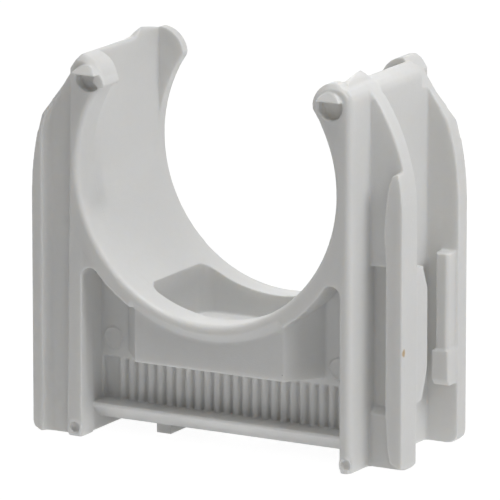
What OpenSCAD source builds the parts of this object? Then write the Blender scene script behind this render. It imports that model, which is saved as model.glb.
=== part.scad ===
/* [Pipe seat] */
// Diameter of the pipe that the seat holds
pipe_d = 50; // [48:0.5:52]
// Height of the seat's lowest line above the mounting surface
seat_z = 22.8; // [21.5:0.1:27]
// Thickness of the seat wall under the pipe
seat_wall = 3.1; // [2:0.1:4]
// Length of the clip along the pipe
depth = 30.6; // [28:0.5:40]
// Rounding of the seat's front and back rims
rim_round = 0.9; // [0.4:0.1:1.5]

/* [Arms] */
// Thickness of the arms beside the pipe
arm_t = 3.1; // [2.4:0.1:5]
// Rounding of the thin front ridge's outer corner
ridge_round = 1.2; // [0.3:0.1:1.6]
// Height of the arms' top above the pipe's axis
arm_rise = 18.9; // [16:0.1:22]
// How far the arm's top falls towards its outer edge
arm_top_fall = 2.5; // [0.5:0.1:4]
// Height of the low crest on the arm's inner edge, beside the middle rib
crest_rise = 1.4; // [0.5:0.1:2]
// Width of that crest
crest_w = 1; // [0.8:0.1:1.6]
// Distance from the clip's end to the crest's highest point
crest_y = 8.5; // [7.5:0.1:9.5]
// Radius of the rounded nose at the end of each arm
nose_r = 4.7; // [4:0.1:5]
// How far the nose's centre lies inside the seat's radius
nose_inset = 0.2; // [-0.3:0.1:0.8]
// Height of the nose's centre above the pipe's axis
nose_rise = 14.6; // [13:0.1:16]
// Thickness of the nose beside the middle rib
thin_nose = 2.7; // [2:0.1:4]
// Thickness of the nose beside the outer flange
thick_nose = 5.6; // [4:0.1:7]
// Width of the bevel round the nose's end face
nose_bevel = 1; // [0.3:0.1:1.4]
// Radius of the round blind pocket in each nose
nose_pocket_r = 2.3; // [1.5:0.1:2.4]
// Depth of that pocket
nose_pocket_depth = 1.8; // [1:0.1:2.1]
// Height of that pocket's centre above the nose's centre
nose_pocket_rise = 0.6; // [0:0.1:1]
// How far the pocket's centre lies inside the nose's centre, on the thin nose
thin_pocket_inset = 0.7; // [0:0.1:1.5]
// How far the pocket's centre lies inside the nose's centre, on the thick nose
thick_pocket_inset = 1.9; // [0:0.1:2.2]
// Radius of the hood over the pocket
hood_r = 2.5; // [2.3:0.1:2.9]
// Height of the hood's flat lower edge above the pocket's centre
hood_gap = 0.9; // [0.3:0.1:1.5]
// How far the hood stands out on the thin nose
thin_hood_t = 1; // [0.3:0.1:1.5]
// How far the hood stands out on the thick nose
thick_hood_t = 1.6; // [0.3:0.1:2]

/* [Outer flanges] */
// How far the outer flange stands out from the side wall
flange_reach = 6; // [4:0.1:9]
// Overall thickness of the outer flange
flange_t = 3.2; // [2.6:0.1:5]
// Depth of the shallow groove in its outer side
groove_depth = 1.5; // [0.8:0.1:2]
// Height above the pipe's axis where the flange's slanted shoulder starts
shoulder_rise = 8.5; // [2:0.1:10]
// Radius of the slow curve under the shoulder
shoulder_r = 48; // [40:1:90]
// Height of that curve
curve_h = 14; // [8:0.5:20]
// Rounding of the flange's lower corner
flange_foot_r = 2; // [0.5:0.1:3]

/* [Middle ribs] */
// Distance from the clip's end to the middle rib
rib_y = 6.9; // [6:0.1:9]
// Thickness of the middle rib
rib_t = 3.4; // [2.5:0.1:4]
// How far the middle rib stands out from the side wall
rib_reach = 7.2; // [5:0.1:9]
// Radius of the rib's curved upper edge
rib_arc_r = 33.8; // [30:0.1:40]
// How far under the pipe's axis that curve starts
rib_arc_drop = 3.6; // [1.5:0.1:7]
// How far the long pad stands out in front of the rib
pad_t = 2; // [1:0.1:2.5]
// Width of the long pad
pad_w = 3.2; // [2:0.1:3.6]
// Height of the long pad's top above the pipe's axis
pad_rise = 3.8; // [-2:0.1:6]
// How far the latch hump stands out behind the rib
hump_t = 4; // [1:0.1:5]
// Width of the latch hump
hump_w = 2.6; // [2:0.1:3.5]
// Lower end of the hump and of the hollow in front of it
latch_z0 = 10.4; // [8:0.5:14]
// Upper end of the hump and of the hollow in front of it
latch_z1 = 34.9; // [30:0.5:40]
// Depth of the hollow in the rib's front face
hollow_depth = 1.6; // [0.8:0.1:2]
// How far the hollow's lower end slopes down towards the front
hollow_slope = 1.1; // [0.2:0.1:2]

/* [Coupling tongue] */
// Width of the tongue on the outer flange
tongue_w = 2.7; // [1.5:0.1:3.5]
// How far the tongue stands out from the flange
tongue_t = 2.9; // [1.5:0.1:4]
// Height where the tongue's thicker foot ends
tongue_foot_z = 17; // [14:0.5:20]
// How much thicker the foot is on each side
tongue_foot_step = 0.25; // [0.1:0.05:0.5]
// How far the tongue's side lies inside the flange's edge
tongue_inset = 0.45; // [0.2:0.05:1]
// Lower end of the tongue
tongue_z0 = 10.8; // [8:0.5:12]
// Upper end of the tongue
tongue_z1 = 34; // [28:0.5:38]

/* [Base block] */
// Width of each side pocket, from the plain plate to the side wall's outer face
pocket_w = 13.5; // [12.5:0.1:16]
// How far the plate lies behind the rims
plate_set_back = 1.5; // [0.5:0.1:2.5]
// Height of the plate's lower edge
plate_z = 14.2; // [12:0.1:15.5]
// How far the side pockets reach in from each end
pocket_depth = 7.6; // [6:0.1:9]
// How much the block widens from the plate to the pocket's back
block_slant = 4.7; // [2:0.1:5]
// Thin side wall beside the pocket
thin_wall = 2.1; // [1.5:0.1:2.5]
// Thick side wall beside the pocket
thick_wall = 3.8; // [2.5:0.1:4]
// How far that wall is set back deeper in the pocket
wall_step = 0.35; // [0.1:0.05:0.8]
// Where that step lies, from the clip's end
wall_step_y = 4.2; // [3:0.1:6]
// Rounding of the pocket's upper corner
pocket_round = 1.7; // [0.8:0.1:2.5]
// Thickness of the toothed front and back walls
end_wall = 2.2; // [1.8:0.1:3]
// Distance of the recess for the screw head from the side wall's outer face
recess_gap = 13.9; // [12.5:0.1:16]
// Distance from the clip's end to the recess
recess_y = 5.4; // [4.8:0.1:8]
// Height of the recess floor
recess_z = 18.3; // [17.5:0.1:20]
// Corner rounding of the recess
recess_round = 2.5; // [1:0.1:4]
// Thickness of the recess floor
floor_t = 2.3; // [1.5:0.1:2.4]
// Thickness of the recess side walls
recess_wall = 1.8; // [1.2:0.1:2.5]
// Diameter of the fixing screw's hole
screw_hole_d = 6.4; // [4:0.1:8]
// Diameter of the column round that hole
screw_column_d = 12; // [11:0.5:14]

/* [Toothed strips and rails] */
// Distance between two teeth
tooth_pitch = 1.865; // [1.5:0.005:2.5]
// Radius of each rounded tooth
tooth_r = 0.62; // [0.4:0.01:0.7]
// Distance from the thick wall to the first tooth
tooth_margin = 2.6; // [1.5:0.1:4]
// Height of the teeth's upper ends
tooth_z = 12.6; // [10:0.1:13.5]
// Depth of the channel that the teeth stand in
channel_depth = 0.9; // [0.7:0.05:1.1]
// Height of the bevel along that channel's top
channel_bevel = 0.5; // [0.2:0.1:1]
// Height of the rail's flat top
rail_z = 5.5; // [5:0.1:7]
// Height of the rail's underside at its root
rail_root_z = 2.3; // [1.5:0.1:3.5]
// How far the rail's nose stands out from the toothed wall
rail_reach = 3.9; // [2:0.1:5]
// Distance of each cross rib's middle from the side wall's outer face
foot_gap = 14.1; // [12:0.1:16]
// Thickness of the cross ribs
foot_t = 1.9; // [1.2:0.1:3]
// Length of the small foot under one cross rib
foot_len = 7; // [4:0.5:12]
// Width of that foot
foot_w = 2.8; // [2:0.1:4]

/* [Mould marks] */
// Radius of the round ejector marks in the side pockets
ejector_r = 1.9; // [1:0.1:2.5]
// Height of their raised edge
ejector_h = 0.15; // [0.05:0.05:0.3]
// Radius of the dimples at the foot of each ridge
dimple_r = 0.9; // [0.5:0.05:1]
// Depth of the dimples
dimple_depth = 0.7; // [0.3:0.1:1.2]
// Distance of the dimple on the thin ridge from the wall's outer face
thin_dimple_inset = 0.95; // [0.9:0.05:1.2]
// Distance of the dimple on the thick ridge from the wall's outer face
thick_dimple_inset = 2.4; // [1.5:0.1:2.6]
// Height of the dimples' centres
dimple_z = 1.7; // [1.2:0.1:3]

/* [Hidden] */
$fn = 96;
plastic = "#c9cccb";
// A small overlap, so that joined shapes share volume and cuts pass through faces
lap = 0.4;
// Bevels along the arms' top, outside and inside
arm_shoulder = 0.9;
arm_bevel = 0.4;
seat_r = pipe_d / 2;
half = depth / 2;
seat_outer_r = seat_r + seat_wall;
axis_z = seat_z + seat_r;
wall_x = seat_r + arm_t;
rib_x = wall_x + rib_reach;
flange_x = wall_x + flange_reach;
plate_x = wall_x - pocket_w;
recess_x = wall_x - recess_gap;
foot_x = wall_x - foot_gap;
arm_top_z = axis_z + arm_rise;
shoulder_z = axis_z + shoulder_rise;
rib_arc_z = axis_z - rib_arc_drop;
pad_top_z = axis_z + pad_rise;
nose_x = seat_r - nose_inset;
nose_z = axis_z + nose_rise;
pocket_z = nose_z + nose_pocket_rise;
// Height of the hood's blunt lower edge
hood_edge = 0.25;
// Slope of the flange's shoulder, which runs on over the nose beside it
shoulder_slope = 1.45;
// Corner of the groove on the wall's edge, at the bottom, and how it leans inwards
groove_x = wall_x - 0.8;
groove_lean = 0.016;
// Inner faces of the side wall beside the front pocket and beside the back pocket
thin_inner_x = wall_x - thin_wall;
thick_inner_x = wall_x - thick_wall;
tooth_plane = pocket_depth;
shoulder_drop = shoulder_r - sqrt(pow(shoulder_r, 2) - pow(curve_h, 2));
shoulder_x = flange_x - shoulder_drop;
block_back_x = plate_x + block_slant;

// Extrudes an outline drawn in X and Z along the pipe, between two places on Y
module along_pipe(y0, y1) {
    translate([0, y1, 0])
        rotate([90, 0, 0])
            linear_extrude(height = y1 - y0)
                children();
}

// Extrudes an outline drawn in Y and Z across the clip, between two places on X
module across(x0, x1) {
    translate([x0, 0, 0])
        rotate([90, 0, 90])
            linear_extrude(height = x1 - x0)
                children();
}

// Outline of the seat's wall and of the two side walls under the pipe's axis
module seat_outline() {
    intersection() {
        translate([0, axis_z])
            circle(r = seat_outer_r);
        translate([-wall_x, 0])
            square([2 * wall_x, axis_z]);
    }
}

// Outline of the right arm between the two noses
module arm_outline(top_z) {
    polygon([
        [seat_r, axis_z - lap],
        [wall_x, axis_z - lap],
        [wall_x, top_z - arm_top_fall],
        [wall_x - 0.3 * arm_shoulder, top_z - 0.6 * arm_top_fall],
        [wall_x - arm_shoulder, top_z - 0.3 * arm_top_fall],
        [seat_r + arm_bevel, top_z],
        [seat_r, top_z - arm_bevel]
    ]);
}

// Outline of the right arm at a nose; the pipe's own space is cut out of it later
module nose_outline(slanted) {
    difference() {
        union() {
            intersection() {
                translate([nose_x, nose_z])
                    circle(r = nose_r);
                translate([nose_x - nose_r, nose_z - nose_r])
                    square([nose_r, 2 * nose_r]);
            }
            polygon([
                [nose_x - 0.9 * nose_r, axis_z - lap],
                [wall_x, axis_z - lap],
                [wall_x, nose_z + 0.25 * nose_r],
                [nose_x + 0.56 * nose_r, nose_z + 0.53 * nose_r],
                [nose_x + 0.36 * nose_r, nose_z + 0.77 * nose_r],
                [nose_x + 0.15 * nose_r, nose_z + 0.94 * nose_r],
                [nose_x - 0.05 * nose_r, nose_z + 0.99 * nose_r],
                [nose_x - 0.9 * nose_r, nose_z]
            ]);
        }
        if (slanted) {
            shoulder_cut_outline();
        }
    }
}

// What the slanted shoulder takes off the outline above the flange
module shoulder_cut_outline() {
    inner = 2 * rib_reach;
    outer = rib_reach;
    polygon([
        [shoulder_x - inner, shoulder_z + inner * shoulder_slope],
        [shoulder_x + outer, shoulder_z - outer * shoulder_slope],
        [shoulder_x + outer, shoulder_z + inner * shoulder_slope]
    ]);
}

// The solid end of an arm, before its bevel and its pocket are cut
module nose(y_face, thickness, side) {
    y0 = side < 0 ? y_face : y_face - thickness;
    along_pipe(y0, y0 + thickness)
        nose_outline(side > 0);
}

// The round blind pocket in a nose's end face
module nose_pocket_cut(y_face, side, pocket_inset) {
    y0 = side < 0 ? y_face - lap : y_face - nose_pocket_depth;
    along_pipe(y0, y0 + nose_pocket_depth + lap)
        translate([nose_x - pocket_inset, pocket_z])
            circle(r = nose_pocket_r);
}

// The hood over that pocket: part of a disc, whose front slopes back towards its top
module hood(y_face, side, pocket_inset, hood_t) {
    pocket_x = nose_x - pocket_inset;
    z0 = pocket_z + hood_gap;
    z1 = pocket_z + hood_r + lap;
    y1 = y_face - side * nose_pocket_depth;
    intersection() {
        translate([pocket_x, y_face + hood_r, pocket_z])
            rotate([90, 0, 0])
                cylinder(r = hood_r, h = 2 * hood_r);
        across(pocket_x - hood_r - lap, pocket_x + hood_r + lap)
            polygon([
                [y_face + side * hood_t, z0],
                [y_face + side * hood_t, z0 + hood_edge],
                [y_face, z1],
                [y1, z1],
                [y1, z0]
            ]);
    }
}

// What the bevel takes off the upper half of the nose's end face
module nose_bevel_cut(y_face, side) {
    intersection() {
        translate([nose_x, y_face, nose_z])
            rotate([side * 90, 0, 0])
                rotate_extrude()
                    polygon([
                        [nose_r - nose_bevel, 0],
                        [nose_r + nose_bevel, 2 * nose_bevel],
                        [nose_r + nose_bevel, -lap],
                        [nose_r - nose_bevel, -lap]
                    ]);
        translate([nose_x - 2 * nose_r, -depth, nose_z])
            cube([3 * nose_r, 2 * depth, 2 * nose_r]);
    }
}

// The right side wall, with its thin and thick parts beside the two pockets
module side_wall() {
    translate([thin_inner_x, -half, 0])
        cube([thin_wall, depth, axis_z]);
    translate([thick_inner_x, half - wall_step_y, 0])
        cube([thick_wall, wall_step_y, axis_z]);
    translate([thick_inner_x + wall_step, 0, 0])
        cube([thick_wall - wall_step, half, axis_z]);
    along_pipe(-half + lap, half - thick_nose + lap)
        arm_outline(arm_top_z);
    arm_crest();
}

// The low crest on the arm's inner edge, which slopes down to the thin nose
module arm_crest() {
    y0 = -half + thin_nose;
    y1 = -half + rib_y + rib_t + lap;
    crest_z = arm_top_z + crest_rise;
    intersection() {
        along_pipe(y0 - lap, y1)
            polygon([
                [seat_r, axis_z],
                [seat_r, crest_z - arm_bevel],
                [seat_r + 0.5 * arm_bevel, crest_z],
                [seat_r + crest_w, arm_top_z + 0.4 * crest_rise],
                [seat_r + 1.5 * crest_w, arm_top_z - lap],
                [seat_r + 1.5 * crest_w, axis_z]
            ]);
        across(seat_r - lap, wall_x)
            polygon([
                [y0 - lap, axis_z],
                [y0 - lap, arm_top_z],
                [y0, arm_top_z + 0.2 * crest_rise],
                [-half + rib_y, arm_top_z + 0.8 * crest_rise],
                [-half + crest_y, crest_z],
                [y1, arm_top_z - lap],
                [y1, axis_z]
            ]);
    }
}

// Outline of the outer flange: straight foot, slow curve and slanted shoulder
module flange_outline() {
    root_x = wall_x - 1;
    curve_z = shoulder_z - curve_h;
    translate([root_x, flange_foot_r])
        square([flange_x - root_x, curve_z - flange_foot_r]);
    translate([root_x, 0])
        square([flange_x - flange_foot_r - root_x, flange_foot_r + lap]);
    translate([flange_x - flange_foot_r, flange_foot_r])
        circle(r = flange_foot_r);
    intersection() {
        translate([flange_x - shoulder_r, curve_z])
            circle(r = shoulder_r, $fn = 360);
        polygon([
            [root_x, curve_z - lap],
            [flange_x + lap, curve_z - lap],
            [flange_x + lap, shoulder_z - (flange_x + lap - shoulder_x) * shoulder_slope],
            [root_x, shoulder_z + (shoulder_x - root_x) * shoulder_slope]
        ]);
    }
}

// The right outer flange, at the clip's back end
module outer_flange() {
    along_pipe(half - flange_t, half)
        flange_outline();
}

// The shallow groove in the back face of the right flange, which also cuts the wall's edge
module groove_cut() {
    top_z = nose_z + nose_r;
    along_pipe(half - groove_depth, half + lap)
        polygon([
            [groove_x + lap * groove_lean, -lap],
            [shoulder_x, -lap],
            [shoulder_x, shoulder_z],
            [flange_x + lap, shoulder_z],
            [flange_x + lap, top_z],
            [groove_x - top_z * groove_lean, top_z]
        ]);
}

// The round fillet between the groove and the lip beside it
module groove_fill() {
    face_y = half - groove_depth;
    intersection() {
        translate([shoulder_x, face_y, lap])
            linear_extrude(height = shoulder_z - lap)
                difference() {
                    translate([-groove_depth, -lap])
                        square([groove_depth + lap, groove_depth + lap]);
                    translate([-groove_depth, groove_depth])
                        circle(r = groove_depth);
                }
        along_pipe(face_y - lap, half)
            flange_outline();
        across(shoulder_x - groove_depth - lap, flange_x)
            polygon([
                [face_y - lap, 0],
                [half, 0],
                [half, shoulder_z - 2 * groove_depth],
                [face_y, shoulder_z],
                [face_y - lap, shoulder_z]
            ]);
    }
}

// The coupling tongue on the front face of the outer flange
module tongue() {
    y1 = half - flange_t + lap;
    x1 = flange_x - tongue_inset;
    foot_x1 = x1 + tongue_foot_step;
    bar_y0 = half - flange_t - tongue_t;
    foot_y0 = bar_y0 - tongue_foot_step;
    foot_z1 = tongue_foot_z;
    // Upper bar with bevelled front corners
    translate([0, 0, tongue_z0 + 1])
        linear_extrude(height = tongue_z1 - tongue_z0 - 1)
            polygon([
                [x1 - tongue_w, y1],
                [x1 - tongue_w, bar_y0 + 0.9],
                [x1 - tongue_w + 0.5, bar_y0],
                [x1 - 0.4, bar_y0],
                [x1, bar_y0 + 0.5],
                [x1, y1]
            ]);
    // Thicker foot, bevelled at its lower end
    across(x1 - tongue_w - tongue_foot_step, foot_x1)
        polygon([
            [y1, foot_z1],
            [foot_y0, foot_z1],
            [foot_y0, tongue_z0 + 1],
            [foot_y0 + 0.8, tongue_z0],
            [y1, tongue_z0]
        ]);
}

// Outline of the middle rib, whose curved edge runs out at the arm's top
module rib_outline() {
    root_x = wall_x - 1;
    translate([root_x, 1])
        square([rib_x - root_x, rib_arc_z - 1]);
    translate([root_x, 0])
        square([rib_x - root_x - 1, 1 + lap]);
    translate([rib_x - 1, 1])
        circle(r = 1);
    intersection() {
        translate([rib_x - rib_arc_r, rib_arc_z])
            circle(r = rib_arc_r, $fn = 360);
        translate([root_x, rib_arc_z - lap])
            square([rib_x - root_x, rib_arc_r]);
    }
}

// Outline of the long pad in front of the rib, wider at the middle of its height
module pad_outline() {
    inner_x = rib_x - pad_w;
    intersection() {
        polygon([
            [rib_x - 0.3, 0.6],
            [inner_x + 0.9, 1.6],
            [inner_x + 0.3, 5],
            [inner_x, 10],
            [inner_x, pad_top_z - 15.6],
            [inner_x - 0.4, pad_top_z - 11],
            [inner_x, pad_top_z - 5.5],
            [inner_x + 0.6, pad_top_z - 2],
            [inner_x + 1.2, pad_top_z - 0.4],
            [inner_x + 1.9, pad_top_z],
            [rib_x + 1, pad_top_z],
            [rib_x + 1, 0.6]
        ]);
        rib_outline();
    }
}

// The right middle rib with its front pad, the hollow beside it and the hump behind it
module middle_rib() {
    y0 = -half + rib_y;
    y1 = y0 + rib_t;
    hump_x0 = rib_x - hump_w;
    difference() {
        union() {
            along_pipe(y0, y1)
                rib_outline();
            along_pipe(y0 - pad_t, y0 + lap)
                pad_outline();
        }
        across(wall_x, rib_x - pad_w)
            polygon([
                [y0 - lap, latch_z0 - hollow_slope],
                [y0, latch_z0 - hollow_slope],
                [y0 + hollow_depth, latch_z0],
                [y0 + hollow_depth, latch_z1],
                [y0 - lap, latch_z1]
            ]);
    }
    across(hump_x0, rib_x - 0.1)
        polygon([
            [y1 - lap, latch_z0 + 0.6],
            [y1 + 0.5 * hump_t, latch_z0 + 0.9],
            [y1 + 0.92 * hump_t, latch_z0 + 5],
            [y1 + hump_t, latch_z0 + 7],
            [y1 + hump_t, latch_z1 - 4.5],
            [y1 + 0.55 * hump_t, latch_z1 - 0.3],
            [y1 - lap, latch_z1]
        ]);
}

// The right half: its rotated copy makes the left half
module side_half() {
    difference() {
        union() {
            side_wall();
            nose(-half, thin_nose, -1);
            nose(half, thick_nose, 1);
            middle_rib();
            outer_flange();
        }
        nose_bevel_cut(-half, -1);
        nose_bevel_cut(half, 1);
        nose_pocket_cut(-half, -1, thin_pocket_inset);
        nose_pocket_cut(half, 1, thick_pocket_inset);
        dimple_cut(wall_x - thin_dimple_inset, -half, -1);
        dimple_cut(wall_x - thick_dimple_inset, half, 1);
    }
    tongue();
    hood(-half, -1, thin_pocket_inset, thin_hood_t);
    hood(half, 1, thick_pocket_inset, thick_hood_t);
}

// What the rounding takes off the thin ridge's outer corner
module ridge_corner_cut() {
    translate([wall_x - ridge_round, -half + ridge_round, -lap])
        linear_extrude(height = nose_z + nose_r)
            difference() {
                translate([0, -ridge_round - lap])
                    square([ridge_round + lap, ridge_round + lap]);
                circle(r = ridge_round);
            }
}

// A blind dimple in the end face of a ridge
module dimple_cut(x, y_face, side) {
    y0 = side < 0 ? y_face - lap : y_face - dimple_depth;
    along_pipe(y0, y0 + dimple_depth + lap)
        translate([x, dimple_z])
            circle(r = dimple_r);
}

// Plan of the central block: plain plates at both ends and slanted sides
module block_plan() {
    polygon([
        [-plate_x, -half + plate_set_back],
        [plate_x, -half + plate_set_back],
        [block_back_x, -half + pocket_depth],
        [block_back_x, half - pocket_depth],
        [plate_x, half - plate_set_back],
        [-plate_x, half - plate_set_back],
        [-block_back_x, half - pocket_depth],
        [-block_back_x, -half + pocket_depth]
    ]);
}

// The central block under the seat, kept clear of the pipe
module block() {
    difference() {
        translate([0, 0, plate_z])
            linear_extrude(height = axis_z - seat_outer_r * 0.6 - plate_z)
                block_plan();
        along_pipe(-depth, depth)
            translate([0, axis_z])
                circle(r = seat_r + 0.5 * seat_wall);
    }
}

// One toothed end wall with its rail, at the front; its rotated copy is at the back
module end_wall_front() {
    wall_y = -half + tooth_plane;
    top_z = axis_z - sqrt(pow(seat_outer_r, 2) - pow(thin_inner_x, 2)) + lap;
    first_x = -thick_inner_x + tooth_margin;
    tooth_count = floor((thin_inner_x - first_x - tooth_r) / tooth_pitch);
    // The wall itself, up to the seat
    difference() {
        translate([-thick_inner_x - lap, wall_y, rail_root_z])
            cube([thick_inner_x + thin_inner_x + 2 * lap, end_wall, top_z + 4 - rail_root_z]);
        along_pipe(-depth, depth)
            translate([0, axis_z])
                circle(r = seat_r + 0.5 * seat_wall);
        // The channel that the teeth stand in, with a bevel at its top
        across(-thick_inner_x, thin_inner_x)
            polygon([
                [wall_y - lap, rail_z],
                [wall_y + channel_depth, rail_z],
                [wall_y + channel_depth, tooth_z],
                [wall_y, tooth_z + channel_bevel],
                [wall_y - lap, tooth_z + channel_bevel]
            ]);
    }
    // Rounded teeth in their channel, flush with the wall above it
    for (i = [0 : tooth_count]) {
        translate([first_x + (i + 0.5) * tooth_pitch, wall_y + tooth_r, rail_z - lap])
            cylinder(r = tooth_r, h = tooth_z - rail_z + 2 * lap, $fn = 24);
    }
    // The rail: flat top, sharp nose and bevelled underside
    across(-thick_inner_x - lap, thin_inner_x + lap)
        polygon([
            [wall_y + lap, rail_root_z],
            [wall_y + lap, rail_z],
            [wall_y - rail_reach, rail_z],
            [wall_y - rail_reach, rail_z - 0.5],
            [wall_y - 0.6, rail_root_z]
        ]);
}

// Round marks that the mould's ejector pins leave on the pocket's back wall
module ejector_marks() {
    wall_y = -half + tooth_plane;
    for (spot = [[-22.3, 16.3], [21.9, 16.1]]) {
        along_pipe(wall_y - ejector_h, wall_y + lap)
            translate(spot)
                difference() {
                    circle(r = ejector_r);
                    circle(r = ejector_r - 0.25);
                }
    }
}

// Fillet in the upper corner of a front pocket, against the wall whose inner face is at x
module pocket_corner(x, sign) {
    reach = seat_outer_r + pocket_round;
    centre_x = x - pocket_round;
    centre_z = axis_z - sqrt(pow(reach, 2) - pow(centre_x, 2));
    touch = seat_outer_r / reach;
    corner_z = axis_z - sqrt(pow(seat_outer_r, 2) - pow(x, 2));
    along_pipe(-half + 0.05, -half + pocket_depth + lap)
        scale([sign, 1])
            difference() {
                polygon([
                    [centre_x, centre_z],
                    [x + lap, centre_z],
                    [x + lap, corner_z + lap],
                    [x - 0.2, corner_z + 0.4],
                    [centre_x * touch, axis_z - (axis_z - centre_z) * touch + 0.3]
                ]);
                translate([centre_x, centre_z])
                    circle(r = pocket_round);
            }
}

// The recess for the screw head, cut down from the seat
module recess_cut() {
    inner_x = recess_x - recess_round;
    inner_y = half - recess_y - recess_round;
    translate([0, 0, recess_z]) {
        for (x = [-inner_x, inner_x], y = [-inner_y, inner_y]) {
            translate([x, y, 0])
                cylinder(r = recess_round, h = axis_z - recess_z);
        }
        translate([-recess_x, -inner_y, 0])
            cube([2 * recess_x, 2 * inner_y, axis_z - recess_z]);
        translate([-inner_x, -half + recess_y, 0])
            cube([2 * inner_x, depth - 2 * recess_y, axis_z - recess_z]);
    }
}

// The space under the recess floor and beside it, open at the bottom
module underside_cut() {
    y0 = -half + tooth_plane + end_wall;
    core_top_z = recess_z - floor_t;
    side_x0 = recess_x + recess_wall;
    difference() {
        translate([-thick_inner_x, y0, -lap])
            cube([2 * thick_inner_x, -2 * y0, core_top_z + lap]);
        translate([0, 0, -lap])
            cylinder(d = screw_column_d, h = axis_z);
        for (x = [-foot_x, foot_x]) {
            translate([x - 0.5 * foot_t, -half, -lap])
                cube([foot_t, depth, axis_z]);
        }
    }
    for (sign = [-1, 1]) {
        intersection() {
            along_pipe(y0, -y0)
                difference() {
                    translate([sign > 0 ? side_x0 : -thick_inner_x, core_top_z - 1])
                        square([thick_inner_x - side_x0, axis_z - core_top_z]);
                    translate([0, axis_z])
                        circle(r = seat_outer_r);
                }
            translate([-wall_x, -half, 0])
                cube([2 * wall_x, depth, axis_z]);
        }
    }
}

// The space that the pipe takes, with both rims rounded
module pipe_cut() {
    translate([0, 0, axis_z])
        rotate([90, 0, 0]) {
            translate([0, 0, -depth])
                cylinder(r = seat_r, h = 2 * depth, $fn = 180);
            for (end = [0, 1]) {
                mirror([0, 0, end])
                    translate([0, 0, half - rim_round])
                        rotate_extrude($fn = 180)
                            difference() {
                                translate([seat_r - lap, 0])
                                    square([rim_round + lap, rim_round + lap]);
                                translate([seat_r + rim_round, 0])
                                    circle(r = rim_round, $fn = 48);
                            }
            }
        }
}

// Slope between the front rim and the plate that is set back under it
module rim_bevel() {
    intersection() {
        translate([0, 0, axis_z])
            rotate([90, 0, 0])
                translate([0, 0, half - plate_set_back])
                    rotate_extrude($fn = 180)
                        polygon([
                            [seat_outer_r + 2, 0],
                            [seat_outer_r + 0.2, 0],
                            [seat_outer_r - 1.5, plate_set_back],
                            [seat_outer_r - 1.5, plate_set_back + lap],
                            [seat_outer_r + 2, plate_set_back + lap]
                        ]);
        translate([-plate_x, -depth, 0])
            cube([2 * plate_x, depth, axis_z]);
    }
}

// Lower body: seat wall, block, toothed walls and rails
module base() {
    inner_y = -half + tooth_plane + end_wall - lap;
    difference() {
        union() {
            along_pipe(-half, half)
                seat_outline();
            block();
            for (turn = [0, 180]) {
                rotate([0, 0, turn]) {
                    end_wall_front();
                    ejector_marks();
                    pocket_corner(thin_inner_x, 1);
                    pocket_corner(thick_inner_x, -1);
                }
            }
            for (x = [-foot_x, foot_x]) {
                translate([x - 0.5 * foot_t, inner_y, rail_root_z])
                    cube([foot_t, -2 * inner_y, plate_z + 1 - rail_root_z]);
            }
            translate([0, 0, rail_root_z])
                cylinder(d = screw_column_d, h = recess_z - rail_root_z);
            translate([-recess_x - recess_wall, -half + pocket_depth, plate_z])
                cube([2 * (recess_x + recess_wall), depth - 2 * pocket_depth, seat_wall + 10]);
        }
        underside_cut();
        recess_cut();
        cylinder(d = screw_hole_d, h = axis_z);
    }
    // The small foot under the left cross rib
    translate([-foot_x - 0.5 * foot_t, inner_y, 0])
        cube([foot_w, foot_len, rail_root_z + lap]);
}

// The whole clip, one moulding
module pipe_clip() {
    color(plastic)
        union() {
            difference() {
                union() {
                    base();
                    for (turn = [0, 180]) {
                        rotate([0, 0, turn])
                            side_half();
                    }
                }
                pipe_cut();
                for (turn = [0, 180]) {
                    rotate([0, 0, turn]) {
                        rim_bevel();
                        groove_cut();
                        ridge_corner_cut();
                    }
                }
            }
            for (turn = [0, 180]) {
                rotate([0, 0, turn])
                    groove_fill();
            }
        }
}

pipe_clip();
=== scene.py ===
"""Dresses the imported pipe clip: one light-grey moulding on a plain pale floor, seen as in the photograph."""
import logging
import math
from dataclasses import dataclass, field
from enum import Enum
from typing import Any

import bmesh
import bpy
from mathutils import Matrix, Vector


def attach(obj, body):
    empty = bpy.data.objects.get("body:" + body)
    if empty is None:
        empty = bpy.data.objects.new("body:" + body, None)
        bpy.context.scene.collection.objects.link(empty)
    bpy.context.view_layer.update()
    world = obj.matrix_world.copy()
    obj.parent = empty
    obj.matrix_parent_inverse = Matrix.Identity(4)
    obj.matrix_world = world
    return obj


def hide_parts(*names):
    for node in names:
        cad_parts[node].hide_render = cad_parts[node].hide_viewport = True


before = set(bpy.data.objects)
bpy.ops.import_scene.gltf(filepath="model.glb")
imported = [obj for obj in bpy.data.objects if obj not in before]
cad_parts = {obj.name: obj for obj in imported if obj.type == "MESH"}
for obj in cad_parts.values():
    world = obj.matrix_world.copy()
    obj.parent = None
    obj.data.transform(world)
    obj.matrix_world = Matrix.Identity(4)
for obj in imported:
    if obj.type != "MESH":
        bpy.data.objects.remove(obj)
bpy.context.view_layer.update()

log = logging.getLogger("pipe_clip")

MM = 0.001

# The solid's own sizes in millimetres: half its length along the pipe, the pipe's axis and the seat's radius
HALF = 15.3
AXIS_Z = 47.8
SEAT_R = 25.0

Point = tuple[float, float, float]


class Side(Enum):
    """The two halves of the clip, which are the same after half a turn about the screw's axis."""

    FRONT = 0.0
    BACK = math.pi

    @property
    def turn(self) -> Matrix:
        """The rotation about the screw's axis that brings the front half here."""
        return Matrix.Rotation(self.value, 4, "Z")


class Lamp(Enum):
    """The studio's lamps."""

    KEY = "key"
    TOP = "top"
    BACK = "back"


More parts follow.
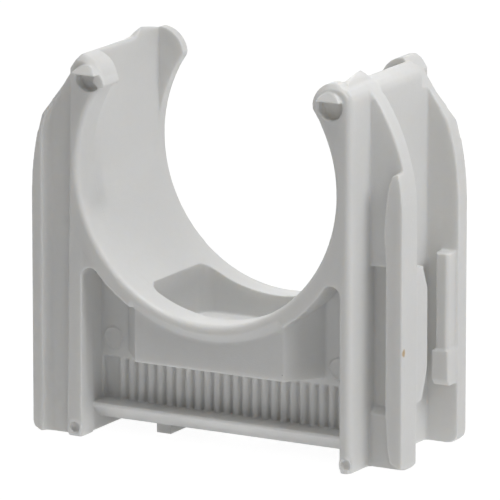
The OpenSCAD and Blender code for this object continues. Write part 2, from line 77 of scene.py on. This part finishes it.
class Sock:
    """Wraps a node's output socket, so that shader maths reads as plain expressions."""

    def __init__(self, tree: bpy.types.NodeTree, socket: bpy.types.NodeSocket) -> None:
        """Args:
            tree: The node tree that new nodes go into.
            socket: The output socket that is wrapped.
        """
        self.tree = tree
        self.socket = socket

    def _math(self, operation: str, *values: Any) -> "Sock":
        """Adds one Math node.

        Args:
            operation: The node's operation.
            values: Numbers or wrapped sockets, in the order of its inputs.
        Returns:
            The wrapped result.
        """
        made = self.tree.nodes.new("ShaderNodeMath")
        made.operation = operation
        for slot, value in zip(made.inputs, values):
            if isinstance(value, Sock):
                self.tree.links.new(value.socket, slot)
            else:
                slot.default_value = value
        return Sock(self.tree, made.outputs[0])

    def __add__(self, other: Any) -> "Sock":
        """Sum."""
        return self._math("ADD", self, other)

    def __radd__(self, other: Any) -> "Sock":
        """Sum, with the number on the left."""
        return self._math("ADD", other, self)

    def __sub__(self, other: Any) -> "Sock":
        """Difference."""
        return self._math("SUBTRACT", self, other)

    def __rsub__(self, other: Any) -> "Sock":
        """Difference, with the number on the left."""
        return self._math("SUBTRACT", other, self)

    def __mul__(self, other: Any) -> "Sock":
        """Product."""
        return self._math("MULTIPLY", self, other)

    def __rmul__(self, other: Any) -> "Sock":
        """Product, with the number on the left."""
        return self._math("MULTIPLY", other, self)

    def __truediv__(self, other: Any) -> "Sock":
        """Quotient."""
        return self._math("DIVIDE", self, other)

    def root(self) -> "Sock":
        """Square root."""
        return self._math("SQRT", self)

    def fade(self, start: float, end: float) -> "Sock":
        """A smooth step from 1 at start to 0 at end.

        Args:
            start: Value up to which the result is 1.
            end: Value from which the result is 0.
        Returns:
            The wrapped mask.
        """
        made = self.tree.nodes.new("ShaderNodeMapRange")
        made.interpolation_type = "SMOOTHSTEP"
        self.tree.links.new(self.socket, made.inputs["Value"])
        made.inputs["From Min"].default_value = start
        made.inputs["From Max"].default_value = end
        made.inputs["To Min"].default_value = 1.0
        made.inputs["To Max"].default_value = 0.0
        return Sock(self.tree, made.outputs["Result"])


class Surface:
    """One material's node tree, and the single method that adds its nodes."""

    def __init__(self, name: str) -> None:
        """Args:
            name: The material's name.
        """
        self.material = bpy.data.materials.new(name)
        self.material.use_nodes = True
        self.tree = self.material.node_tree
        self.tree.nodes.clear()

    def node(
        self, kind: str, settings: dict[str, Any] | None = None, inputs: dict[Any, Any] | None = None
    ) -> bpy.types.Node:
        """Adds a node.

        Args:
            kind: The node's type.
            settings: Its properties, set before its inputs.
            inputs: Values, sockets or wrapped sockets by input name or number.
        Returns:
            The node.
        """
        made = self.tree.nodes.new(kind)
        for key, value in (settings or {}).items():
            setattr(made, key, value)
        for key, value in (inputs or {}).items():
            if isinstance(value, Sock):
                self.tree.links.new(value.socket, made.inputs[key])
            elif isinstance(value, bpy.types.NodeSocket):
                self.tree.links.new(value, made.inputs[key])
            else:
                made.inputs[key].default_value = value
        return made

    def wrap(self, socket: bpy.types.NodeSocket) -> Sock:
        """Wraps an output socket for expressions."""
        return Sock(self.tree, socket)

    def finish(self, shader: bpy.types.NodeSocket) -> bpy.types.Material:
        """Links the last shader to the output.

        Args:
            shader: The shader's output socket.
        Returns:
            The finished material.
        """
        self.node("ShaderNodeOutputMaterial", inputs={"Surface": shader})
        return self.material


@dataclass(frozen=True)
class Fleck:
    """A small mark in the plastic.

    Attributes:
        centre: Its place in millimetres.
        size: Its half lengths along X, Y and Z in millimetres.
        color: Its linear colour.
        strength: How much of that colour shows, from 0 to 1.
    """

    centre: Point
    size: Point
    color: tuple[float, float, float]
    strength: float


TAN = (0.5, 0.34, 0.15)
DARK = (0.16, 0.15, 0.14)

# Middles in millimetres of the dimples at the feet of the right ridges, the thin one's first
DIMPLES = ((27.15, -HALF, 1.7), (25.7, HALF, 1.7))


@dataclass(frozen=True)
class MouldedPlastic:
    """Light-grey matt plastic: faintly cloudy, slightly translucent, with a fine moulded grain.

    Attributes:
        color: Linear base colour.
        cloud: Depth of the cloudy tone changes.
        roughness: Middle roughness.
        glow: Weight of the light that enters the plastic and comes out nearby.
        glow_depth: How far that light travels, in metres.
        grain_depth: Height of the fine grain, in metres.
        line_depth: Height of the parting line round the seat, in metres.
        line_y: Distance of that line from the front, in millimetres.
        ring_depth: Height of the ejector marks' rings, in metres.
        cloud_scale: Scale of the cloudy pattern.
        pore_scale: Scale of the pores, the fine changes of tone.
        gleam_scale: Scale of the changes of roughness.
        grain_scales: Scales of the fine and the coarser grain.
        flecks: Small marks of other colours.
        pins: Places in X and Z of the ejector marks in the front pockets, in millimetres.
        pin_radius: Radius of those marks in millimetres.
        pin_wall: Distance on Y from the screw's axis to the pockets' back walls, in millimetres.
    """

    color: tuple[float, float, float] = (0.73, 0.73, 0.722)
    cloud: float = 0.045
    roughness: float = 0.46
    glow: float = 0.7
    glow_depth: float = 0.0022
    grain_depth: float = 0.00006
    line_depth: float = 0.00004
    line_y: float = 5.7
    ring_depth: float = 0.00007
    cloud_scale: float = 55.0
    pore_scale: float = 900.0
    gleam_scale: float = 700.0
    grain_scales: tuple[float, float] = (5200.0, 1500.0)
    flecks: tuple[Fleck, ...] = (
        Fleck((35.2, -9.75, 20.9), (0.8, 0.6, 0.8), TAN, 0.85),
        Fleck((-12.0, -13.8, 23.4), (0.16, 0.5, 0.16), DARK, 0.5),
        Fleck((-9.6, -13.8, 21.9), (0.13, 0.5, 0.13), DARK, 0.4),
        Fleck((14.2, -13.8, 15.4), (0.14, 0.5, 0.14), DARK, 0.45),
    )
    pins: tuple[tuple[float, float], ...] = ((-22.3, 16.3), (21.9, 16.1))
    pin_radius: float = 1.85
    pin_wall: float = 7.7

    def _mix(self, s: Surface, factor: Any, a: Any, b: Any) -> bpy.types.NodeSocket:
        """Mixes two colours.

        Args:
            s: The surface in work.
            factor: Number or wrapped socket.
            a: First colour, or its socket.
            b: Second colour, or its socket.
        Returns:
            The mixed colour's socket.
        """
        made = s.node("ShaderNodeMix", {"data_type": "RGBA"}, {0: factor, 6: a, 7: b})
        return made.outputs[2]

    def _ejector_marks(self, s: Surface, x: Sock, y: Sock, z: Sock) -> Sock:
        """The raised rings that the mould's round ejector pins leave on the pockets' back walls.

        Args:
            s: The surface in work; it is not used.
            x: Place along X, in metres.
            y: Place along Y.
            z: Place along Z.
        Returns:
            The rings' height, from 0 to 1.
        """
        # Across runs the same way round at both ends, because the back is the front turned
        turned = (y * (-1 / MM)).fade(-0.5, 0.5) * -2.0 + 1.0
        across = x * turned
        depth = (y * y).root() - self.pin_wall * MM
        on_wall = (depth * depth).root().fade(0.6 * MM, 0.9 * MM)
        rings: Sock | None = None
        for cx, cz in self.pins:
            dx, dz = across - cx * MM, z - cz * MM
            gap = (dx * dx + dz * dz).root() - self.pin_radius * MM
            ring = (gap * gap).root().fade(0.06 * MM, 0.24 * MM)
            rings = ring if rings is None else rings + ring
        return rings * on_wall

    def build(self, name: str) -> bpy.types.Material:
        """Makes the material.

        Args:
            name: The material's name.
        Returns:
            The finished material.
        """
        s = Surface(name)
        place = s.node("ShaderNodeTexCoord").outputs["Object"]
        parts = s.node("ShaderNodeSeparateXYZ", inputs={0: place}).outputs
        x, y, z = (s.wrap(p) for p in parts)

        def noise(scale: float, detail: float, rough: float = 0.5) -> Sock:
            """A noise pattern in object space, from 0 to 1."""
            given = {"Vector": place, "Scale": scale, "Detail": detail, "Roughness": rough}
            return s.wrap(s.node("ShaderNodeTexNoise", inputs=given).outputs["Fac"])

        clouds = noise(self.cloud_scale, 3.0)
        pores = noise(self.pore_scale, 2.0)
        light = tuple(min(1.0, c * (1 + self.cloud)) for c in self.color) + (1.0,)
        deep = tuple(c * (1 - self.cloud) for c in self.color) + (1.0,)
        color = self._mix(s, clouds * 0.7 + pores * 0.3, deep, light)
        for fleck in self.flecks:
            (cx, cy, cz), (sx, sy, sz) = fleck.centre, fleck.size
            dx, dy, dz = (x - cx * MM) / (sx * MM), (y - cy * MM) / (sy * MM), (z - cz * MM) / (sz * MM)
            ragged = (dx * dx + dy * dy + dz * dz).root() + noise(2500.0, 1.0) * 0.5 - 0.25
            color = self._mix(s, ragged.fade(0.55, 1.05) * fleck.strength, color, fleck.color + (1.0,))

        # Fine moulded grain, with the mould's parting line round the seat
        fine, coarse = self.grain_scales
        grain = noise(fine, 2.0, 0.6) * 0.65 + noise(coarse, 2.0) * 0.35
        up = z - AXIS_Z * MM
        reach = (x * x + up * up).root()
        on_seat = reach.fade((SEAT_R + 0.3) * MM, (SEAT_R + 0.6) * MM)
        off = y + (HALF - self.line_y) * MM
        line = (off * off).root().fade(0.05 * MM, 0.22 * MM) * on_seat
        rings = self._ejector_marks(s, x, y, z)
        height = grain * self.grain_depth + line * self.line_depth + rings * self.ring_depth
        bump = s.node("ShaderNodeBump", inputs={"Strength": 1.0, "Distance": 1.0, "Height": height})
        shine = self.roughness - 0.05 + noise(self.gleam_scale, 2.0) * 0.1
        r, g, b = self.color
        body = s.node(
            "ShaderNodeBsdfPrincipled",
            {"subsurface_method": "RANDOM_WALK"},
            {
                "Base Color": color,
                "Roughness": shine,
                "IOR": 1.49,
                "Specular IOR Level": 0.45,
                "Subsurface Weight": self.glow,
                "Subsurface Radius": (1.0, 0.92, 0.8),
                "Subsurface Scale": self.glow_depth,
                "Normal": bump.outputs["Normal"],
            },
        )
        s.material.diffuse_color = (r, g, b, 1.0)
        return s.finish(body.outputs["BSDF"])


@dataclass(frozen=True)
class PaleFloor:
    """A white paper sweep that keeps only a faint shadow of the clip.

    Attributes:
        paper: Brightness of the paper for the light it throws back.
        bounce: Light that it gives off besides, as a paper lit from below does.
        faint: Brightness of the paper for the camera, which shows the shadow.
        lift: White that the camera sees in it besides, so that the paper reads as white.
    """

    paper: float = 0.85
    bounce: float = 0.205
    faint: float = 0.15
    lift: float = 0.955

    def build(self, name: str) -> bpy.types.Material:
        """Makes the floor's material.

        Args:
            name: The material's name.
        Returns:
            The finished material.
        """
        s = Surface(name)
        path = s.node("ShaderNodeLightPath").outputs
        seen = s.wrap(path["Is Camera Ray"]) + s.wrap(path["Is Glossy Ray"]) + s.wrap(path["Is Transmission Ray"])
        diffuse = s.node("ShaderNodeBsdfDiffuse", inputs={"Color": (self.paper,) * 3 + (1.0,)})
        gleam = s.node("ShaderNodeEmission", inputs={"Color": (1, 1, 1, 1), "Strength": self.bounce})
        paper = s.node("ShaderNodeAddShader", inputs={0: diffuse.outputs[0], 1: gleam.outputs[0]})
        faint = s.node("ShaderNodeBsdfDiffuse", inputs={"Color": (self.faint,) * 3 + (1.0,)})
        white = s.node("ShaderNodeEmission", inputs={"Color": (1, 1, 1, 1), "Strength": self.lift})
        shown = s.node("ShaderNodeAddShader", inputs={0: faint.outputs[0], 1: white.outputs[0]})
        both = s.node("ShaderNodeMixShader", inputs={0: seen, 1: paper.outputs[0], 2: shown.outputs[0]})
        return s.finish(both.outputs[0])


@dataclass
class ToothStrip:
    """The row of rounded teeth in one end wall, made by a Geometry Nodes tree.

    Attributes:
        side: The end of the clip that carries it.
        count: Number of teeth.
        pitch: Distance between teeth in millimetres.
        first_x: Place of the first tooth's middle.
        y: Place of the teeth's axes.
        z0: Lower ends.
        z1: Upper ends.
        radius: Radius of a tooth.
        facets: Number of faces round a tooth.
    """

    side: Side
    count: int = 26
    pitch: float = 1.865
    first_x: float = -20.7675
    y: float = -7.08
    z0: float = 5.2
    z1: float = 12.7
    radius: float = 0.66
    facets: int = 20

    def _tree(self, skin: bpy.types.Material) -> bpy.types.NodeTree:
        """Builds the tree that sets rounded teeth on a line.

        Args:
            skin: The material that the teeth take.
        Returns:
            The node tree, with named inputs for its sizes.
        """
        tree = bpy.data.node_groups.new(f"tooth_row_{self.side.name.lower()}", "GeometryNodeTree")
        face = tree.interface
        face.new_socket("Geometry", in_out="OUTPUT", socket_type="NodeSocketGeometry")
        face.new_socket("Count", in_out="INPUT", socket_type="NodeSocketInt")
        for name in ("Pitch", "Radius", "Height"):
            face.new_socket(name, in_out="INPUT", socket_type="NodeSocketFloat")
        face.new_socket("First Tooth", in_out="INPUT", socket_type="NodeSocketVector")
        given = tree.nodes.new("NodeGroupInput").outputs

        def add(kind: str, links: dict[str, Any], **settings: Any) -> bpy.types.Node:
            """Adds a node, its settings first and then its values or links."""
            made = tree.nodes.new(kind)
            for key, value in settings.items():
                setattr(made, key, value)
            for key, value in links.items():
                if isinstance(value, bpy.types.NodeSocket):
                    tree.links.new(value, made.inputs[key])
                else:
                    made.inputs[key].default_value = value
            return made

        step = add("ShaderNodeCombineXYZ", {"X": given["Pitch"]})
        along = {"Count": given["Count"], "Start Location": given["First Tooth"], "Offset": step.outputs[0]}
        row = add("GeometryNodeMeshLine", along)
        round_bar = {"Vertices": self.facets, "Radius": given["Radius"], "Depth": given["Height"]}
        shaft = add("GeometryNodeMeshCylinder", round_bar, fill_type="NGON")
        half_height = add("ShaderNodeMath", {0: given["Height"], 1: 0.5}, operation="MULTIPLY")
        top = add("ShaderNodeCombineXYZ", {"Z": half_height.outputs[0]})
        ball = {"Segments": self.facets, "Rings": self.facets // 2, "Radius": given["Radius"]}
        cap = add("GeometryNodeMeshUVSphere", ball)
        placed = add("GeometryNodeTransform", {"Geometry": cap.outputs[0], "Translation": top.outputs[0]})
        tooth = add("GeometryNodeJoinGeometry", {})
        tree.links.new(shaft.outputs[0], tooth.inputs[0])
        tree.links.new(placed.outputs[0], tooth.inputs[0])
        spread = add("GeometryNodeInstanceOnPoints", {"Points": row.outputs[0], "Instance": tooth.outputs[0]})
        real = add("GeometryNodeRealizeInstances", {"Geometry": spread.outputs[0]})
        dressed = add("GeometryNodeSetMaterial", {"Geometry": real.outputs[0], "Material": skin})
        out = tree.nodes.new("NodeGroupOutput")
        tree.links.new(dressed.outputs[0], out.inputs[0])
        return tree

    def build(self, skin: bpy.types.Material) -> bpy.types.Mesh:
        """Makes the teeth as a plain mesh.

        Args:
            skin: The plastic's material.
        Returns:
            The teeth's mesh, in the clip's frame.
        """
        tree = self._tree(skin)
        holder = linked("tooth_row", bpy.data.meshes.new("tooth_row"))
        grow = holder.modifiers.new("teeth", "NODES")
        grow.node_group = tree
        height = (self.z1 - self.z0 - self.radius) * MM
        sizes = {
            "Count": self.count,
            "Pitch": self.pitch * MM,
            "Radius": self.radius * MM,
            "Height": height,
            "First Tooth": (self.first_x * MM, self.y * MM, self.z0 * MM + height / 2),
        }
        for item in tree.interface.items_tree:
            if item.name in sizes and item.in_out == "INPUT":
                grow[item.identifier] = sizes[item.name]
        mesh = plain_mesh(holder, "teeth")
        bpy.data.objects.remove(holder)
        mesh.transform(self.side.turn)
        return mesh


@dataclass
class SnapLip:
    """The blunt lip at the tip of a thick nose, which springs over the pipe.

    Attributes:
        side: The half of the clip that it belongs to.
        outline: Its outline in X and Z, in millimetres.
        ends: Its two ends on Y, in millimetres.
    """

    side: Side
    outline: tuple[tuple[float, float], ...] = (
        (21.6, 64.6), (20.5, 63.9), (20.0, 63.1), (19.7, 62.2), (19.95, 61.75), (20.9, 61.5), (22.0, 62.5)
    )
    ends: tuple[float, float] = (9.8, 15.1)

    def build(self) -> bpy.types.Mesh:
        """Makes the lip as a closed prism.

        Returns:
            The lip's mesh, in the clip's frame.
        """
        bm = bmesh.new()
        rings = [[bm.verts.new((x * MM, y * MM, z * MM)) for x, z in self.outline] for y in self.ends]
        count = len(self.outline)
        bm.faces.new(rings[0])
        bm.faces.new(list(reversed(rings[1])))
        for i in range(count):
            j = (i + 1) % count
            bm.faces.new((rings[0][j], rings[0][i], rings[1][i], rings[1][j]))
        return turned_mesh(bm, "snap_lip", self.side)


@dataclass
class ShoulderFade:
    """The short ramp on which the outer flange's lip runs out into its slanted shoulder.

    Attributes:
        side: The half of the clip that it belongs to.
        inner_y: Where its sections start along the pipe, inside the flange.
        sections: Height, inner and outer ends on X and outer end on Y of each section, in millimetres.
    """

    side: Side
    inner_y: float = 13.5
    sections: tuple[tuple[float, float, float, float], ...] = (
        (52.5, 32.1, 32.93, 15.28),
        (55.0, 31.45, 32.37, 15.26),
        (56.3, 30.95, 31.97, 15.15),
        (58.5, 29.6, 30.45, 14.55),
        (61.0, 28.2, 28.72, 13.78),
    )

    def build(self) -> bpy.types.Mesh:
        """Makes the ramp as a closed loft.

        Returns:
            The ramp's mesh, in the clip's frame.
        """
        bm = bmesh.new()
        rings = []
        for z, x0, x1, y1 in self.sections:
            corners = ((x0, self.inner_y), (x1, self.inner_y), (x1, y1), (x0, y1))
            rings.append([bm.verts.new((x * MM, y * MM, z * MM)) for x, y in corners])
        bm.faces.new(rings[0])
        bm.faces.new(rings[-1])
        for low, high in zip(rings, rings[1:]):
            for i in range(4):
                j = (i + 1) % 4
                bm.faces.new((low[i], low[j], high[j], high[i]))
        return turned_mesh(bm, "shoulder_fade", self.side)


@dataclass
class MouldRing:
    """The raised rim round one of the small dimples at the feet of the ridges.

    Attributes:
        side: The half of the clip that it belongs to.
        centre: Its middle in millimetres.
        radius: Radius of the rim's middle line.
        bead: Radius of the rim's own section.
        around: Number of faces round the rim.
        section: Number of faces round its section.
    """

    side: Side
    centre: Point
    radius: float = 1.06
    bead: float = 0.19
    around: int = 36
    section: int = 8

    def build(self) -> bpy.types.Mesh:
        """Makes the rim as a closed torus that lies in the end face.

        Returns:
            The rim's mesh, in the clip's frame.
        """
        bm = bmesh.new()
        rows = []
        for i in range(self.around):
            turn = math.tau * i / self.around
            row = []
            for j in range(self.section):
                tilt = math.tau * j / self.section
                reach = self.radius + self.bead * math.cos(tilt)
                offset = Vector((reach * math.cos(turn), self.bead * math.sin(tilt), reach * math.sin(turn)))
                row.append(bm.verts.new((Vector(self.centre) + offset) * MM))
            rows.append(row)
        for i in range(self.around):
            for j in range(self.section):
                k, m = (i + 1) % self.around, (j + 1) % self.section
                bm.faces.new((rows[i][j], rows[i][m], rows[k][m], rows[k][j]))
        return turned_mesh(bm, "mould_ring", self.side)


@dataclass
class Softening:
    """One pass that rounds the mould's edges inside a region.

    Attributes:
        steps: Number of smoothing steps.
        strength: How far each step moves a point, from 0 to 1.
        boxes: The boxes in millimetres where it works, also after half a turn; empty means everywhere.
    """

    steps: int
    strength: float
    boxes: tuple[tuple[Point, Point], ...] = ()


@dataclass
class ClipBody:
    """The moulding itself: the exact solid with softly rounded edges, teeth, lips, ramps and rims.

    Attributes:
        node: The CAD node that it stands for.
        voxel: Grid size of the rounding, in metres.
        triangles: Most triangles that the finished piece may have.
        passes: The smoothing passes, in order.
        extras: Closed meshes that are joined to the solid before the rounding.
    """

    node: str = "pipe_clip"
    voxel: float = 0.16 * MM
    triangles: int = 190_000
    passes: tuple[Softening, ...] = (
        # Everywhere
        Softening(3, 0.5),
        # The seat's rim over the plate
        Softening(40, 0.5, (((-17.5, -15.4, 17.5), (17.5, -12.4, 29.5)),)),
        # The plate's lower edge and its two ends
        Softening(
            14,
            0.5,
            (
                ((-20.5, -15.4, 13.4), (20.5, -7.2, 17.5)),
                ((14.0, -15.4, 17.5), (20.5, -7.2, 27.0)),
                ((-20.5, -15.4, 17.5), (-14.0, -7.2, 27.0)),
            ),
        ),
        # The ridges, ribs, flanges and tongues
        Softening(8, 0.5, (((26.2, -17.0, -1.0), (36.0, 17.0, 62.0)),)),
        # The arm's top edge
        Softening(30, 0.5, (((24.6, -12.4, 63.0), (29.0, 9.6, 69.0)),)),
        # The feet of the ridges and flanges
        Softening(50, 0.5, (((23.0, -15.6, -1.0), (36.0, 15.6, 0.75)),)),
        # The flange's shoulder
        Softening(45, 0.5, (((29.5, 12.0, 53.0), (36.0, 15.6, 58.5)),)),
        # The tip of the thin nose
        Softening(30, 0.5, (((19.0, -15.5, 57.5), (22.3, -12.0, 62.9)),)),
    )
    extras: list[bpy.types.Mesh] = field(default_factory=list)

    def _joined(self) -> bpy.types.Object:
        """Copies the CAD mesh, closes its seams and adds the extra pieces.

        Returns:
            A scratch object that holds them all.
        """
        bm = bmesh.new()
        bm.from_mesh(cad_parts[self.node].data)
        bmesh.ops.remove_doubles(bm, verts=bm.verts, dist=1e-6)
        for mesh in self.extras:
            bm.from_mesh(mesh)
        mesh = bpy.data.meshes.new("clip_rough")
        bm.to_mesh(mesh)
        bm.free()
        return linked("clip_rough", mesh)

    def _weights(self, piece: bpy.types.Object, step: Softening, name: str) -> str:
        """Marks the points that a pass works on.

        Args:
            piece: The piece in work.
            step: The pass.
            name: The vertex group's name.
        Returns:
            The vertex group's name, or an empty name where the pass works everywhere.
        """
        if not step.boxes:
            return ""
        group = piece.vertex_groups.new(name=name)
        inside: list[int] = []
        for v in piece.data.vertices:
            p = v.co / MM
            for q in (p, Vector((-p.x, -p.y, p.z))):
                if any(all(lo[i] <= q[i] <= hi[i] for i in range(3)) for lo, hi in step.boxes):
                    inside.append(v.index)
                    break
        group.add(inside, 1.0, "REPLACE")
        return name

    def build(self, skin: bpy.types.Material) -> bpy.types.Object:
        """Makes the finished moulding.

        Args:
            skin: The plastic's material.
        Returns:
            The piece, at the origin, with its place in its mesh.
        """
        rough = self._joined()
        grid = rough.modifiers.new("grid", "REMESH")
        grid.mode = "VOXEL"
        grid.voxel_size = self.voxel
        grid.use_smooth_shade = True
        piece = linked("clip_moulding", plain_mesh(rough, "clip_moulding"))
        bpy.data.objects.remove(rough)
        for number, step in enumerate(self.passes):
            rounding = piece.modifiers.new(f"rounding_{number}", "SMOOTH")
            rounding.iterations = step.steps
            rounding.factor = step.strength
            group = self._weights(piece, step, f"region_{number}")
            if group:
                rounding.vertex_group = group
        rounded = plain_mesh(piece, "clip_moulding")
        count = sum(len(p.vertices) - 2 for p in rounded.polygons)
        piece.modifiers.clear()
        piece.vertex_groups.clear()
        piece.data = rounded
        thin = piece.modifiers.new("thin", "DECIMATE")
        thin.ratio = min(1.0, self.triangles / count)
        piece.data = plain_mesh(piece, "clip_moulding")
        piece.modifiers.clear()
        piece.data.materials.clear()
        piece.data.materials.append(skin)
        for polygon in piece.data.polygons:
            polygon.use_smooth = True
        log.info("moulding: %d triangles, from %d", len(piece.data.polygons), count)
        return piece


@dataclass
class Studio:
    """Camera, floor, world and lamps.

    Attributes:
        eye: The camera's place in millimetres.
        target: The point in millimetres that it looks at.
        lens: Focal length in millimetres.
        sensor: Width of the camera's sensor in millimetres.
        sweep: Half the floor's width in metres.
        drop: How far the floor lies under the clip, in metres.
        air: Strength of the even light from all round.
        lamps: Place in millimetres, size in metres and power of each large lamp.
        lamp_target: The point in millimetres that they are aimed at.
        mouth_eye: Place of the narrow spot that shines down through the clip's mouth.
        mouth_target: The point that it is aimed at.
        mouth_cone: Its cone's full angle in degrees.
        mouth_blend: How softly its cone ends, from 0 to 1.
        mouth_size: Its radius in metres, which softens its shadows.
        mouth_power: Its power.
    """

    eye: Point = (604.9, -1076.6, 319.9)
    target: Point = (8.81, -15.3, 36.85)
    lens: float = 534.0
    sensor: float = 36.0
    sweep: float = 6.0
    drop: float = 0.0001
    air: float = 0.1
    lamps: dict[Lamp, tuple[Point, tuple[float, float], float]] = field(
        default_factory=lambda: {
            Lamp.KEY: ((560.0, -40.0, 480.0), (0.42, 0.42), 2.24),
            Lamp.TOP: ((0.0, -40.0, 600.0), (0.4, 0.9), 0.84),
            Lamp.BACK: ((-420.0, 430.0, 420.0), (0.5, 0.5), 0.95),
        }
    )
    lamp_target: Point = (0.0, 0.0, 34.0)
    mouth_eye: Point = (90.0, -70.0, 600.0)
    mouth_target: Point = (-1.0, -1.0, 24.0)
    mouth_cone: float = 4.2
    mouth_blend: float = 0.8
    mouth_size: float = 0.03
    mouth_power: float = 18.0

    def camera(self) -> bpy.types.Object:
        """Sets the camera at the photograph's viewpoint.

        Returns:
            The camera object.
        """
        data = bpy.data.cameras.new("photo_view")
        data.lens = self.lens
        data.sensor_width = self.sensor
        data.clip_start, data.clip_end = 0.05, 40.0
        camera = self._aimed(data, self.eye, self.target)
        bpy.context.scene.camera = camera
        return camera

    def floor(self) -> bpy.types.Object:
        """Lays the pale floor under the clip.

        Returns:
            The floor object.
        """
        bm = bmesh.new()
        bmesh.ops.create_grid(bm, x_segments=1, y_segments=1, size=self.sweep)
        mesh = bpy.data.meshes.new("floor")
        bm.to_mesh(mesh)
        bm.free()
        mesh.transform(Matrix.Translation((0, 0, -self.drop)))
        mesh.materials.append(PaleFloor().build("pale_floor"))
        floor = linked("floor", mesh)
        return floor

    def world(self) -> None:
        """Lights the clip evenly from all round, with a white backdrop for the camera."""
        world = bpy.data.worlds.new("studio")
        bpy.context.scene.world = world
        world.use_nodes = True
        tree = world.node_tree
        tree.nodes.clear()
        path = tree.nodes.new("ShaderNodeLightPath").outputs
        kinds = ("Camera", "Glossy", "Transmission")
        camera, glossy, through = (Sock(tree, path[f"Is {kind} Ray"]) for kind in kinds)
        seen = camera + glossy + through
        air = tree.nodes.new("ShaderNodeBackground")
        air.inputs["Color"].default_value = (1.0, 1.0, 1.0, 1.0)
        air.inputs["Strength"].default_value = self.air
        white = tree.nodes.new("ShaderNodeBackground")
        white.inputs["Strength"].default_value = 1.0
        both = tree.nodes.new("ShaderNodeMixShader")
        tree.links.new(seen.socket, both.inputs[0])
        tree.links.new(air.outputs[0], both.inputs[1])
        tree.links.new(white.outputs[0], both.inputs[2])
        out = tree.nodes.new("ShaderNodeOutputWorld")
        tree.links.new(both.outputs[0], out.inputs[0])

    def light(self) -> list[bpy.types.Object]:
        """Hangs the soft lamps and the spot over the mouth.

        Returns:
            The lamp objects.
        """
        made = []
        for lamp, (place, size, power) in self.lamps.items():
            data = bpy.data.lights.new(lamp.value, "AREA")
            data.shape = "ELLIPSE"
            data.size, data.size_y = size
            data.energy = power
            made.append(self._aimed(data, place, self.lamp_target))
        spot = bpy.data.lights.new("mouth", "SPOT")
        spot.energy = self.mouth_power
        spot.spot_size = math.radians(self.mouth_cone)
        spot.spot_blend = self.mouth_blend
        spot.shadow_soft_size = self.mouth_size
        made.append(self._aimed(spot, self.mouth_eye, self.mouth_target))
        return made

    def _aimed(self, data: bpy.types.ID, place: Point, target: Point) -> bpy.types.Object:
        """Places a lamp or camera and aims it.

        Args:
            data: The lamp or camera.
            place: Its place in millimetres.
            target: The point in millimetres that it is aimed at.
        Returns:
            The lamp or camera object.
        """
        placed = linked(data.name, data)
        placed.location = Vector(place) * MM
        placed.rotation_euler = (Vector(target) - Vector(place)).to_track_quat("-Z", "Y").to_euler()
        return placed

    def build(self) -> None:
        """Sets up the whole studio."""
        self.camera()
        self.floor()
        self.world()
        self.light()
        bpy.context.scene.view_settings.view_transform = "Standard"
        log.info("studio: %d lamps", len(self.lamps))


def linked(name: str, data: bpy.types.ID) -> bpy.types.Object:
    """Makes an object and links it to the scene.

    Args:
        name: The object's name.
        data: Its mesh, lamp or camera.
    Returns:
        The object, at the origin.
    """
    made = bpy.data.objects.new(name, data)
    bpy.context.scene.collection.objects.link(made)
    return made


def turned_mesh(bm: bmesh.types.BMesh, name: str, side: Side) -> bpy.types.Mesh:
    """Closes a small extra mesh: its faces point outwards, and it is turned to its half of the clip.

    Args:
        bm: The mesh in work, which is freed.
        name: The new mesh's name.
        side: The half of the clip that it belongs to.
    Returns:
        The mesh, in the clip's frame.
    """
    bmesh.ops.recalc_face_normals(bm, faces=bm.faces)
    mesh = bpy.data.meshes.new(name)
    bm.to_mesh(mesh)
    bm.free()
    mesh.transform(side.turn)
    return mesh


def plain_mesh(holder: bpy.types.Object, name: str) -> bpy.types.Mesh:
    """Turns an object with modifiers into a plain mesh.

    Args:
        holder: The object.
        name: The new mesh's name.
    Returns:
        The evaluated mesh.
    """
    evaluated = holder.evaluated_get(bpy.context.evaluated_depsgraph_get())
    mesh = bpy.data.meshes.new_from_object(evaluated)
    mesh.name = name
    return mesh


def main() -> None:
    """Builds the studio and the dressed clip."""
    logging.basicConfig(level=logging.INFO, format="%(name)s: %(message)s")
    Studio().build()
    skin = MouldedPlastic().build("light_grey_plastic")
    body = ClipBody()
    for side in Side:
        body.extras.append(ToothStrip(side).build(skin))
        log.info("teeth, %s: %d faces", side.name.lower(), len(body.extras[-1].polygons))
        body.extras.append(SnapLip(side).build())
        body.extras.append(ShoulderFade(side).build())
        body.extras.extend(MouldRing(side, centre).build() for centre in DIMPLES)
    piece = body.build(skin)
    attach(piece, "root")
    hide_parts(body.node)


if __name__ == "__main__":
    main()
